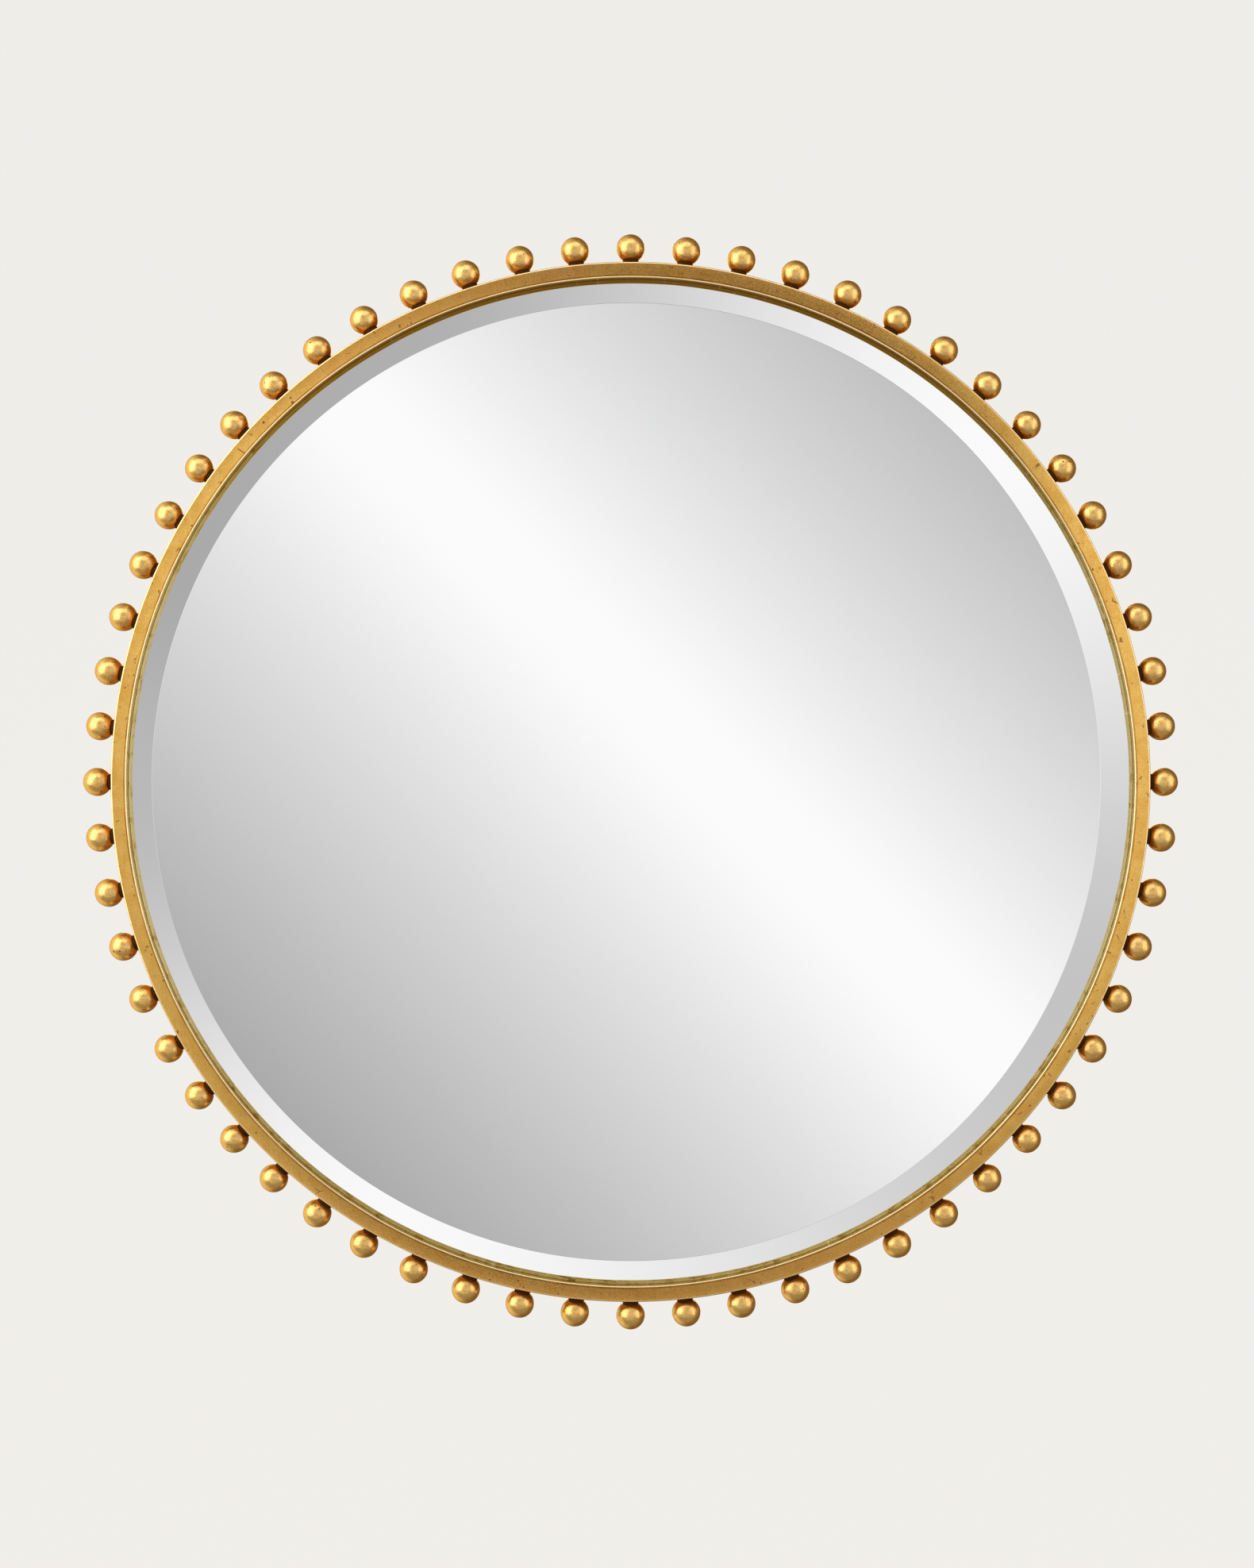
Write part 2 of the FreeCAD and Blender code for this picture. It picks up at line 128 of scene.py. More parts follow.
def grain(tree, place, scale, detail=2.0, roughness=0.5, distortion=0.0):
    made = node(tree, "TexNoise", {"Vector": place, "Scale": scale, "Detail": detail,
                                   "Roughness": roughness, "Distortion": distortion})
    return made.outputs["Fac"]


def object_place(tree):
    return node(tree, "TexCoord").outputs["Object"]


def split(tree, place):
    parts = node(tree, "SeparateXYZ", {0: place})
    return parts.outputs[0], parts.outputs[1], parts.outputs[2]


def distance_from_axis(tree, place):
    x, _, z = split(tree, place)
    return maths(tree, "SQRT", maths(tree, "ADD", times(tree, x, x), times(tree, z, z)))


def new_material(name):
    material = bpy.data.materials.new(name)
    material.use_nodes = True
    return material, material.node_tree, material.node_tree.nodes["Principled BSDF"]


def plug(tree, shader, **sockets):
    """Sets or links the shader's sockets, named in small letters with underscores."""
    for name, value in sockets.items():
        key = name.replace("_", " ").title()
        if isinstance(value, bpy.types.NodeSocket):
            tree.links.new(value, shader.inputs[key])
        else:
            shader.inputs[key].default_value = value


def bump(tree, shader, height, strength, distance):
    made = node(tree, "Bump", {"Height": height, "Strength": strength, "Distance": distance})
    tree.links.new(made.outputs[0], shader.inputs["Normal"])


# ---------------------------------------------------------------- gold leaf

LEAF_LIGHT = (0.93, 0.565, 0.135, 1)
LEAF_DEEP = (0.84, 0.455, 0.080, 1)
LEAF_WORN = (0.52, 0.24, 0.040, 1)
# Painted shade, laid over the hoop's top and bottom.
LEAF_ENDS_SHADE = (0.60, 0.235, 0.045, 1)
# Pale gold: it lifts the balls' leaf, and is painted on as highlight at the face's outer edge and the
# lip's crest.
PALE_LEAF_AND_HIGHLIGHT = (1.0, 0.81, 0.45, 1)
LEAF_EDGE_TINT = (0.95, 0.66, 0.30, 1)
WALL_EDGE_TINT = (0.34, 0.22, 0.075, 1)
BOLE = (0.20, 0.062, 0.016, 1)
# Brown used as painted shade beside the lip and where the balls sit on their necks, mixed with toner.
SHADE_TONER = (0.30, 0.105, 0.018, 1)
SOOT = (0.012, 0.0032, 0.0015, 1)
BARE_IRON = (0.045, 0.028, 0.018, 1)
WALL_PALE = (0.92, 0.80, 0.45, 1)
# The next two are painted shade on the lip's wall towards the hoop's top and bottom; the first is
# also its worn tone.
WALL_WORN_AND_SHADE = (0.55, 0.38, 0.13, 1)
WALL_SHADE_OLIVE = (0.36, 0.235, 0.070, 1)
FINE_GRAIN = 700
FOLD_GRAIN = 330
WORN_SHARE = 0.24
BRUSH_STROKES = ((math.radians(38), 520), (math.radians(-8), 640))      # (angle, scale)
COAT_ROUGHNESS = 0.28
LEAF_BUMP = 0.25 * MM


def towards_ends(tree, place, low, high):
    """0 at the hoop's sides and 1 at its top and bottom, eased between two shares of its radius."""
    _, _, height = split(tree, place)
    off_middle = maths(tree, "ABSOLUTE", height)
    return smooth_step(tree, off_middle, low * HOOP_RADIUS, high * HOOP_RADIUS)


def brushed(tree, place, turned, scale):
    """Fine straight streaks across the front, turned by an angle about the depth axis."""
    along = node(tree, "Mapping", {"Vector": place, "Rotation": (0, turned, 0),
                                   "Scale": (1, 1, 0.06)})
    return smooth_step(tree, grain(tree, along.outputs[0], scale, 3, 0.6), 0.54, 0.74)


def brown_marks(tree, place, speck_share, seam_share):
    """Brown specks and short torn seams, where the bole under the leaf shows."""
    cells = node(tree, "TexVoronoi", {"Vector": place, "Scale": 150.0, "Randomness": 1.0})
    size = smooth_step(tree, grain(tree, place, 60, 2), 0.45, 0.75)
    from_speck = maths(tree, "SUBTRACT", cells.outputs["Distance"], times(tree, size, speck_share))
    speck = smooth_step(tree, from_speck, 0.06, -0.02)
    seams = node(tree, "TexVoronoi", {"Vector": place, "Scale": 44.0}, feature="DISTANCE_TO_EDGE")
    torn = smooth_step(tree, grain(tree, place, 100, 2), 0.58, 0.66)
    seam = times(tree, smooth_step(tree, seams.outputs["Distance"], 0.045, 0.010), torn)
    return maths(tree, "MAXIMUM", speck, times(tree, seam, seam_share))


def gold_leaf(name, wear_and_painted_light, rough_from=0.24, relief=0.35, patch_scale=55, speck_share=0.20,
              seam_share=0.8, paler=0.0, streaked=False, ends_shade=0.0, crumpled=0.0,
              edge_tint=LEAF_EDGE_TINT):
    """Gilt iron: mottled leaf with brown marks. The function passed after the name changes the
    sockets for wear and bare iron, and paints highlights and shade on. paler lifts the colour,
    streaked adds brush marks, a share for the hoop's ends paints shade over its top and bottom, and
    crumpled adds folds."""
    material, tree, shader = new_material(name)
    place = object_place(tree)
    broad = smooth_step(tree, grain(tree, place, patch_scale, 5, 0.65, 0.4), 0.30, 0.70)
    fine = smooth_step(tree, grain(tree, place, FINE_GRAIN, 3, 0.65), 0.25, 0.8)
    marks = brown_marks(tree, place, speck_share, seam_share)
    gold = blend(tree, broad, LEAF_DEEP, LEAF_LIGHT)
    gold = blend(tree, times(tree, fine, WORN_SHARE), gold, LEAF_WORN)
    if streaked:
        strokes = [brushed(tree, place, turned, scale) for turned, scale in BRUSH_STROKES]
        streaks = maths(tree, "MAXIMUM", *strokes)
        gold = blend(tree, times(tree, streaks, WORN_SHARE), gold, LEAF_WORN)
    gold = blend(tree, paler, gold, PALE_LEAF_AND_HIGHLIGHT)
    if crumpled:
        folds = grain(tree, place, FOLD_GRAIN, 4, 0.65, 0.6)
        from_crease = maths(tree, "ABSOLUTE", maths(tree, "SUBTRACT", folds, 0.5))
        crease = smooth_step(tree, from_crease, 0.035, 0.0)
        gold = blend(tree, times(tree, crease, crumpled), gold, LEAF_WORN)
        broad = maths(tree, "ADD", broad, times(tree, folds, 3.0))
    # Painted shade: the leaf darkens towards the hoop's top and bottom.
    if ends_shade:
        ends = towards_ends(tree, place, 0.55, 1.0)
        gold = blend(tree, times(tree, ends, ends_shade), gold, LEAF_ENDS_SHADE)
    sockets = {
        "base_color": blend(tree, marks, gold, BOLE),
        "roughness": scaled(tree, fine, 0.12, rough_from),
        "metallic": scaled(tree, marks, -0.5, 1.0),
        "coat_weight": scaled(tree, fine, 0.05, 0.275),
    }
    # The piece's own wear and bare iron, and its painted highlights and shade.
    wear_and_painted_light(tree, place, distance_from_axis(tree, place), sockets)
    plug(tree, shader, **sockets)
    shader.inputs["Specular Tint"].default_value = edge_tint
    shader.inputs["Coat Roughness"].default_value = COAT_ROUGHNESS
    dents = maths(tree, "ADD", times(tree, broad, 0.6), times(tree, fine, 0.4))
    bump(tree, shader, maths(tree, "SUBTRACT", dents, marks), relief, LEAF_BUMP)
    return material


def bare_inside(tree, place, reach, sockets):
    """The hoop's inner face was never leafed, so its iron shows."""
    bare = smooth_step(tree, reach, HOOP_INNER_RADIUS + 0.4 * MM, HOOP_INNER_RADIUS - 0.2 * MM)
    kept = scaled(tree, bare, -0.8, 1.0)
    sockets["base_color"] = blend(tree, bare, sockets["base_color"], BARE_IRON)
    sockets["roughness"] = scaled(tree, bare, 0.25, sockets["roughness"])
    sockets["metallic"] = times(tree, sockets["metallic"], kept)


def crease_shade_and_edge_highlight(tree, place, reach, sockets):
    """The face: a dark line beside the lip, painted shade in the crease with some grime, and an outer
    edge painted pale as a highlight over some burnish.
    """
    # Painted shade: a dark brown line in the crease beside the raised lip, with some grime.
    crease_shade_at = LIP_OUTER_RADIUS + 0.5 * MM
    crease_shade = between(tree, reach, crease_shade_at - 0.3 * MM, crease_shade_at + 0.3 * MM, 1.0 * MM)
    patchy = smooth_step(tree, grain(tree, place, 45, 3), 0.35, 0.65)
    shade_and_grime = times(tree, crease_shade, scaled(tree, patchy, 0.35, 0.45))
    # Painted highlight: the rounded outer edge is lightened to pale gold, over some burnish.
    edge_from = HOOP_RADIUS - 2.0 * MM
    edge = smooth_step(tree, reach, edge_from, edge_from + 0.7 * MM)
    rubbed_and_highlight = times(tree, edge, scaled(tree, grain(tree, place, 150, 3), 0.8, 0.35))
    colour = blend(tree, shade_and_grime, sockets["base_color"], SHADE_TONER)
    sockets["base_color"] = blend(tree, rubbed_and_highlight, colour, PALE_LEAF_AND_HIGHLIGHT)
    sockets["roughness"] = scaled(tree, edge, 0.12, sockets["roughness"])


def crest_highlight_and_wall_shade(tree, place, reach, sockets):
    """The lip: a crest painted pale as a highlight, and below it a worn wall with painted shade,
    darker towards the hoop's top and bottom and olive at its top.
    """
    _, depth, height = split(tree, place)
    crest_from = FACE_FRONT + 1.4 * MM
    crest_to = FACE_FRONT + 0.4 * MM
    below_crest = smooth_step(tree, depth, crest_to, crest_from)
    on_wall = smooth_step(tree, reach, OPENING_RADIUS + 0.6 * MM, OPENING_RADIUS + 0.3 * MM)
    inside = times(tree, on_wall, below_crest)
    # Painted highlight: the crest is lightened to pale gold.
    crest = smooth_step(tree, depth, crest_from, crest_to)
    worn = smooth_step(tree, grain(tree, place, 90, 4, 0.6), 0.48, 0.75)
    # Painted shade: the wall darkens towards the hoop's top and bottom, olive and darkest at its top.
    ends = towards_ends(tree, place, 0.25, 0.75)
    top = smooth_step(tree, height, 0.35 * HOOP_RADIUS, 0.9 * HOOP_RADIUS)
    wall = blend(tree, worn, WALL_PALE, WALL_WORN_AND_SHADE)
    wall = blend(tree, times(tree, ends, 0.55), wall, WALL_WORN_AND_SHADE)
    wall = blend(tree, times(tree, ends, worn), wall, WALL_SHADE_OLIVE)
    wall = blend(tree, top, wall, WALL_SHADE_OLIVE)
    colour = blend(tree, times(tree, crest, 0.85), sockets["base_color"], PALE_LEAF_AND_HIGHLIGHT)
    sockets["base_color"] = blend(tree, inside, colour, wall)
    sockets["coat_weight"] = scaled(tree, inside, -0.26, 0.30)
    sockets["roughness"] = scaled(tree, crest, 0.10, sockets["roughness"])


def seat_shade_and_soot(tree, place, reach, sockets):
    """The balls: painted shade with brown toner, darkening into soot and near-black shade where a
    ball sits on its neck.
    """
    soot_shade_from = BALL_SEAT_AT - 1 * MM
    soot_shade_to = BALL_SEAT_AT + 2 * MM
    toner_shade_to = BALL_SEAT_AT + 8 * MM
    wander = scaled(tree, grain(tree, place, 260, 2), 1.6 * MM, -0.8 * MM)
    wandering = maths(tree, "ADD", reach, wander)
    # Painted shade with some toner and soot: brown, then near-black, as the ball's surface nears its
    # neck.
    toner_shade = smooth_step(tree, wandering, toner_shade_to, soot_shade_to)
    soot_shade = smooth_step(tree, wandering, soot_shade_to, soot_shade_from)
    colour = blend(tree, times(tree, toner_shade, 0.75), sockets["base_color"], SHADE_TONER)
    sockets["base_color"] = blend(tree, soot_shade, colour, SOOT)
    sockets["metallic"] = times(tree, sockets["metallic"], scaled(tree, soot_shade, -0.6, 1.0))


# ---------------------------------------------------------------- other materials

SOLDER_RUST = (0.042, 0.009, 0.002, 1)
SOLDER_BROWN = (0.10, 0.033, 0.008, 1)
SILVER_DIM = (0.960, 0.960, 0.964, 1)
SILVER_BRIGHT = (0.975, 0.976, 0.978, 1)
BACKING_DARK = (0.055, 0.062, 0.060, 1)
BACKING_LIGHT = (0.085, 0.092, 0.088, 1)
BOARD_DARK = (0.012, 0.011, 0.010, 1)
BOARD_LIGHT = (0.040, 0.037, 0.033, 1)
BOARD_SCUFF = (0.085, 0.078, 0.068, 1)
STEEL_SPOT = (0.20, 0.17, 0.13, 1)


def sooty_solder():
    """The dark joint under each ball, browner where it meets the leaf."""
    material, tree, shader = new_material("sooty_solder")
    place = object_place(tree)
    rust = smooth_step(tree, grain(tree, place, 300, 4, 0.6), 0.4, 0.72)
    near_ball = smooth_step(tree, distance_from_axis(tree, place), BALL_SEAT_AT - 2.4 * MM,
                            BALL_SEAT_AT + 0.3 * MM)
    colour = blend(tree, near_ball, blend(tree, rust, SOOT, SOLDER_RUST), SOLDER_BROWN)
    plug(tree, shader, base_color=colour, roughness=scaled(tree, rust, 0.2, 0.5))
    shader.inputs["Specular IOR Level"].default_value = 0.06
    bump(tree, shader, rust, 0.5, 0.2 * MM)
    return material


def silvered_glass():
    """The pane: silvered over the front and the bevel, with dark backing paint at the rear."""
    material, tree, shader = new_material("silvered_glass")
    place = object_place(tree)
    _, depth, _ = split(tree, place)
    back = smooth_step(tree, depth, PANE_HIGH.y - 1.2 * MM, PANE_HIGH.y - 0.6 * MM)
    silver = blend(tree, grain(tree, place, 3.0, 2), SILVER_DIM, SILVER_BRIGHT)
    paint = blend(tree, grain(tree, place, 40, 4), BACKING_DARK, BACKING_LIGHT)
    plug(tree, shader, base_color=blend(tree, back, silver, paint),
         metallic=maths(tree, "SUBTRACT", 1.0, back), roughness=scaled(tree, back, 0.5, 0.012))
    return material


def grained(name, dark, light, scale, rough, lift):
    """Rubber and foam: two close shades over a grain."""
    material, tree, shader = new_material(name)
    speckle = grain(tree, object_place(tree), scale, 4, 0.65)
    colour = blend(tree, smooth_step(tree, speckle, 0.3, 0.75), dark, light)
    plug(tree, shader, base_color=colour, roughness=scaled(tree, speckle, 0.15, rough))
    bump(tree, shader, speckle, 0.4, lift)
    return material


def painted_board():
    """Hardboard with a black wash: long fibres and faint scuffs."""
    material, tree, shader = new_material("painted_board")
    place = object_place(tree)
    stretch = node(tree, "Mapping", {"Vector": place, "Scale": (1.0, 1.0, 5.0)})
    fibre = grain(tree, stretch.outputs[0], 160, 5, 0.7)
    scuff = smooth_step(tree, grain(tree, place, 7, 5, 0.6, 0.8), 0.56, 0.72)
    colour = blend(tree, smooth_step(tree, fibre, 0.3, 0.8), BOARD_DARK, BOARD_LIGHT)
    colour = blend(tree, times(tree, scuff, 0.35), colour, BOARD_SCUFF)
    plug(tree, shader, base_color=colour, roughness=scaled(tree, fibre, 0.25, 0.52))
    bump(tree, shader, fibre, 0.35, 0.25 * MM)
    return material


def plated_steel(name, light, dull, rough, scale=220):
    """Zinc or nickel plate: clouded, with a few dull spots."""
    material, tree, shader = new_material(name)
    place = object_place(tree)
    cloud = smooth_step(tree, grain(tree, place, scale, 3, 0.6), 0.3, 0.75)
    spots = smooth_step(tree, grain(tree, place, scale * 3, 2), 0.68, 0.78)
    colour = blend(tree, times(tree, spots, 0.5), blend(tree, cloud, light, dull), STEEL_SPOT)
    plug(tree, shader, base_color=colour, metallic=1.0, roughness=scaled(tree, cloud, 0.16, rough))
    bump(tree, shader, cloud, 0.15, 0.1 * MM)
    return material


hoop_leaf = gold_leaf("gold_leaf_hoop", bare_inside)
# The face has painted shade towards the hoop's top and bottom.
face_leaf = gold_leaf("gold_leaf_face", crease_shade_and_edge_highlight, rough_from=0.15, relief=0.22,
                      streaked=True, ends_shade=0.40)
lip_leaf = gold_leaf("gold_leaf_lip", crest_highlight_and_wall_shade, relief=0.08, edge_tint=WALL_EDGE_TINT)
ball_leaf = gold_leaf("gold_leaf_balls", seat_shade_and_soot, rough_from=0.22, relief=0.45, patch_scale=210,
                      speck_share=0.16, seam_share=0.0, paler=0.22, crumpled=0.45)
solder_finish = sooty_solder()
pane_finish = silvered_glass()
screw_finish = plated_steel("zinc_screw", (0.70, 0.69, 0.66, 1), (0.48, 0.47, 0.45, 1),
                            rough=0.28, scale=420)

# The finish of each CAD node that keeps its own mesh, by the start of its name.
FINISHES = {
    "outer_band": hoop_leaf,
    "glazing_gasket": grained("gasket_foam", (0.012, 0.011, 0.010, 1), (0.035, 0.031, 0.026, 1),
                              scale=900, rough=0.75, lift=0.2 * MM),
    "edge_block": grained("block_rubber", (0.016, 0.015, 0.014, 1), (0.038, 0.036, 0.033, 1),
                          scale=500, rough=0.6, lift=0.15 * MM),
    "mounting_tape": grained("tape_foam", (0.74, 0.72, 0.66, 1), (0.90, 0.89, 0.85, 1),
                             scale=1200, rough=0.8, lift=0.2 * MM),
    "wall_bumper": grained("bumper_rubber", (0.020, 0.019, 0.018, 1), (0.045, 0.043, 0.040, 1),
                           scale=700, rough=0.55, lift=0.1 * MM),
    "backing_board": painted_board(),
    "retaining_clip": plated_steel("zinc_clip", (0.62, 0.62, 0.60, 1), (0.44, 0.44, 0.43, 1),
                                   rough=0.34),
    "hanger_strap": plated_steel("nickel_strap", (0.72, 0.70, 0.66, 1), (0.54, 0.52, 0.49, 1),
                                 rough=0.26),
    "d_ring": plated_steel("nickel_ring", (0.76, 0.74, 0.70, 1), (0.60, 0.58, 0.55, 1),
                           rough=0.20),
}

for node_name, piece in NODES.items():
    for stem, finish in FINISHES.items():
        if node_name.startswith(stem):
            piece.material_slots[0].material = finish


# ---------------------------------------------------------------- mesh helpers

SHARP_FROM = math.radians(35)


def finished(name, mesh, material, nodes, body="root"):
    """Puts a mesh into the scene in place of CAD nodes."""
    piece = bpy.data.objects.new(name, mesh)
    bpy.context.scene.collection.objects.link(piece)
    mesh.materials.append(material)
    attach(piece, body)
    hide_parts(*nodes)


def mesh_from(name, points, faces, smooth=True):
    mesh = bpy.data.meshes.new(name)
    mesh.from_pydata([tuple(p) for p in points], [], faces)
    mesh.polygons.foreach_set("use_smooth", [smooth] * len(faces))
    mesh.update()
    return mesh


def face_outwards(mesh):
    """Turns every face of a closed mesh to look outwards."""
    shape = bmesh.new()
    shape.from_mesh(mesh)
    bmesh.ops.recalc_face_normals(shape, faces=shape.faces)
    shape.to_mesh(mesh)
    shape.free()


def flatten_caps(mesh):
    """Shades the many-sided end faces flat."""
    for face in mesh.polygons:
        if len(face.vertices) > 4:
            face.use_smooth = False


def sleeve(first, rings, steps):
    """Four-sided faces between rings of steps points each, the points numbered from first."""
    faces = []
    for ring in range(rings):
        for step in range(steps):
            a = first + ring * steps + step
            b = first + ring * steps + (step + 1) % steps
            faces.append((a, b, b + steps, a + steps))
    return faces


def turned_about_depth(section, angle):
    """(radius, y) points placed at an angle round the depth axis."""
    return [(r * math.cos(angle), y, r * math.sin(angle)) for r, y in section]


# ---------------------------------------------------------------- balls and necks

BALL_COUNT = 60
BALL_STEPS, BALL_RINGS = 40, 22
BALL_UNEVENNESS = 0.24 * MM
BALL_SWELL = 1.7
DENT_COUNT = (2, 5)
DENT_DEPTH = (0.08 * MM, 0.26 * MM)
DENT_RADIUS = (2.0 * MM, 4.0 * MM)
DENTS_LEAN = (0.3, -0.4, 0.0)   # most dents are on the outer front
NOISE_SPREAD = 50               # how far apart the balls are placed in the noise
SEATED_RINGS = 3                # over these rings from the flat a ball goes from true to uneven
BALL_SEED = 60
NECK_STEPS, NECK_RINGS = 36, 6
NECK_FLARE = (2.0 * MM, 3.0 * MM)
NECK_CURVE = 1.4
NECK_SINK = 0.15 * MM
NECK_SEED = 61


def one_ball(points, faces, turn, draw):
    """A hand-finished ball: a sphere cut flat at its neck, a little uneven, with a few dents."""
    flat_angle = math.acos((BALL_CENTRE_AT - BALL_SEAT_AT) / BALL_RADIUS)
    stir = Vector([draw.uniform(-NOISE_SPREAD, NOISE_SPREAD) for _ in range(3)])
    dents = []
    for _ in range(draw.randint(*DENT_COUNT)):
        spot = Vector([draw.gauss(lean, 1) for lean in DENTS_LEAN]).normalized()
        dents.append((spot, draw.uniform(*DENT_DEPTH), draw.uniform(*DENT_RADIUS)))
    first = len(points)
    place = Matrix.Rotation(turn, 4, "Y") @ Matrix.Translation((BALL_CENTRE_AT, BALL_DEPTH, 0))
    for ring in range(BALL_RINGS + 1):
        swing = flat_angle + (math.pi - flat_angle) * ring / BALL_RINGS
        for step in range(BALL_STEPS):
            turned = TURN * step / BALL_STEPS
            aim = Vector((-math.cos(swing), math.sin(swing) * math.cos(turned),
                          math.sin(swing) * math.sin(turned)))
            sink = BALL_UNEVENNESS * (0.5 + 0.5 * noise.noise(aim * BALL_SWELL + stir))
            for spot, depth, reach in dents:
                apart = (aim - spot).length * BALL_RADIUS
                sink += depth * math.exp(-(apart / reach) ** 2)
            seated = min(1.0, ring / SEATED_RINGS)
            points.append(place @ (aim * (BALL_RADIUS - sink * seated)))
            if ring == BALL_RINGS:
                break
    tip = len(points) - 1
    faces += sleeve(first, BALL_RINGS - 1, BALL_STEPS)
    last = first + (BALL_RINGS - 1) * BALL_STEPS
    for step in range(BALL_STEPS):
        faces.append((last + step, last + (step + 1) % BALL_STEPS, tip))
    faces.append(tuple(first + step for step in reversed(range(BALL_STEPS))))


def gilt_balls():
    """All the balls as one piece, each drawn with its own dents."""
    draw = random.Random(BALL_SEED)
    points, faces = [], []
    for number in range(BALL_COUNT):
        one_ball(points, faces, -TURN * number / BALL_COUNT, draw)
    mesh = mesh_from("gilt_balls", points, faces)
    flatten_caps(mesh)
    finished("gilt_balls", mesh, ball_leaf, ["beads"])


def flared_necks():
    """The soldered neck under each ball: a short fillet that widens onto the hoop."""
    draw = random.Random(NECK_SEED)
    neck_radius = math.sqrt(BALL_RADIUS ** 2 - (BALL_CENTRE_AT - BALL_SEAT_AT) ** 2)
    foot = HOOP_RADIUS - NECK_SINK
    points, faces = [], []
    for number in range(BALL_COUNT):
        flare = draw.uniform(*NECK_FLARE)
        place = Matrix.Rotation(-TURN * number / BALL_COUNT, 4, "Y")
        first = len(points)
        for ring in range(NECK_RINGS + 1):
            share = ring / NECK_RINGS
            radius = neck_radius + flare * (1 - share) ** NECK_CURVE
            out = foot + (BALL_SEAT_AT - foot) * share
            for step in range(NECK_STEPS):
                turned = TURN * step / NECK_STEPS
                points.append(place @ Vector((out, BALL_DEPTH + radius * math.cos(turned),
                                              radius * math.sin(turned))))
        faces += sleeve(first, NECK_RINGS, NECK_STEPS)
        last = first + NECK_RINGS * NECK_STEPS
        faces.append(tuple(first + step for step in reversed(range(NECK_STEPS))))
        faces.append(tuple(last + step for step in range(NECK_STEPS)))
    mesh = mesh_from("solder_necks", points, faces)
    flatten_caps(mesh)
    finished("solder_necks", mesh, solder_finish, ["bead_collars"])


# ---------------------------------------------------------------- hoop's face and lip

RING_STEPS = 720
FACE_EDGE_RADIUS = 1.6 * MM
CREST_HEIGHT = LIP_THICKNESS / 2
CREST_Y = LIP_LOW.y + CREST_HEIGHT
LIP_WAVER = 0.22 * MM
LIP_WAVES = ((5, 1.0), (17, 0.6))       # (pitch, share of the waver)
CREST_POINTS, EDGE_POINTS = 14, 10


def closed_ring(name, section_at):
    """A closed ring about the depth axis. section_at gives its (radius, y) outline at an angle."""
    points, faces = [], []
    for step in range(RING_STEPS):
        angle = TURN * step / RING_STEPS
        section = section_at(angle)
        points += turned_about_depth(section, angle)
    rows = len(section)
    for step in range(RING_STEPS):
        a, b = step * rows, (step + 1) % RING_STEPS * rows
        for row in range(rows):
            after = (row + 1) % rows
            faces.append((a + row, b + row, b + after, a + after))
    mesh = mesh_from(name, points, faces)
    face_outwards(mesh)
    mesh.set_sharp_from_angle(angle=SHARP_FROM)
    return mesh


def arc(centre, radii, start, end, count):
    """Points on an elliptical arc of the (radius, y) plane, from a start to an end angle."""
    turns = [start + (end - start) * number / (count - 1) for number in range(count)]
    return [(centre[0] + radii[0] * math.cos(turn), centre[1] + radii[1] * math.sin(turn))
            for turn in turns]


def face_section(angle):
    """The flat face with its rounded outer edge, the same all round."""
    centre = (HOOP_RADIUS - FACE_EDGE_RADIUS, FACE_FRONT + FACE_EDGE_RADIUS)
    edge = arc(centre, (FACE_EDGE_RADIUS, FACE_EDGE_RADIUS), -math.pi / 2, 0, EDGE_POINTS)
    inner = [(LIP_OUTER_RADIUS, FACE_BACK), (LIP_OUTER_RADIUS, FACE_FRONT)]
    return inner + edge + [(HOOP_RADIUS, FACE_BACK)]


def lip_section(angle):
    """The inner strip with its rounded crest. Its inner side wavers, as a hand-bent strip does."""
    spot = Vector((math.cos(angle), math.sin(angle), 0))
    waver = LIP_WAVER * sum(share * noise.noise(spot * pitch) for pitch, share in LIP_WAVES)
    half = (LIP_THICKNESS - waver) / 2
    crest = arc((LIP_OUTER_RADIUS - half, CREST_Y), (half, CREST_HEIGHT), -math.pi, 0, CREST_POINTS)
    return [(LIP_OUTER_RADIUS - 2 * half, LIP_HIGH.y)] + crest + [(LIP_OUTER_RADIUS, LIP_HIGH.y)]


def leafed_hoop():
    """The face and the lip, each turned finer than the CAD ring that it replaces."""
    face = closed_ring("leafed_face", face_section)
    finished("leafed_face", face, face_leaf, ["face_ring"])
    lip = closed_ring("leafed_lip", lip_section)
    finished("leafed_lip", lip, lip_leaf, ["inner_band"])


# ---------------------------------------------------------------- pane

PANE_STEPS = 720
PANE_RADIUS = PANE_HIGH.x
PANE_EDGE_THICKNESS = 2.2 * MM
BEVEL_WIDTH = 31.8 * MM
BEVEL_EXTRA = 9.0 * MM          # added at the right, where the hand-ground bevel is widest
BEVEL_EXTRA_POWER = 3           # the higher, the shorter the stretch that is wider
BEVEL_WAVER = 0.25 * MM
BEVEL_WAVES = 2.5
BEVEL_ARRIS = 0.08 * MM
REAR_ARRIS = 0.5 * MM


def pane_section(angle):
    """The pane's edge from its flat over the bevel to its rear."""
    edge_front = PANE_HIGH.y - PANE_EDGE_THICKNESS
    wider = BEVEL_EXTRA * max(0.0, math.cos(angle)) ** BEVEL_EXTRA_POWER
    spot = Vector((math.cos(angle), math.sin(angle), 0))
    waver = BEVEL_WAVER * noise.noise(spot * BEVEL_WAVES)
    starts = PANE_RADIUS - BEVEL_WIDTH - wider + waver
    slope = (edge_front - PANE_LOW.y) / (PANE_RADIUS - starts)
    return [
        (starts - BEVEL_ARRIS, PANE_LOW.y),
        (starts + BEVEL_ARRIS, PANE_LOW.y + BEVEL_ARRIS * slope),
        (PANE_RADIUS, edge_front),
        (PANE_RADIUS, PANE_HIGH.y - REAR_ARRIS),
        (PANE_RADIUS - REAR_ARRIS, PANE_HIGH.y),
    ]


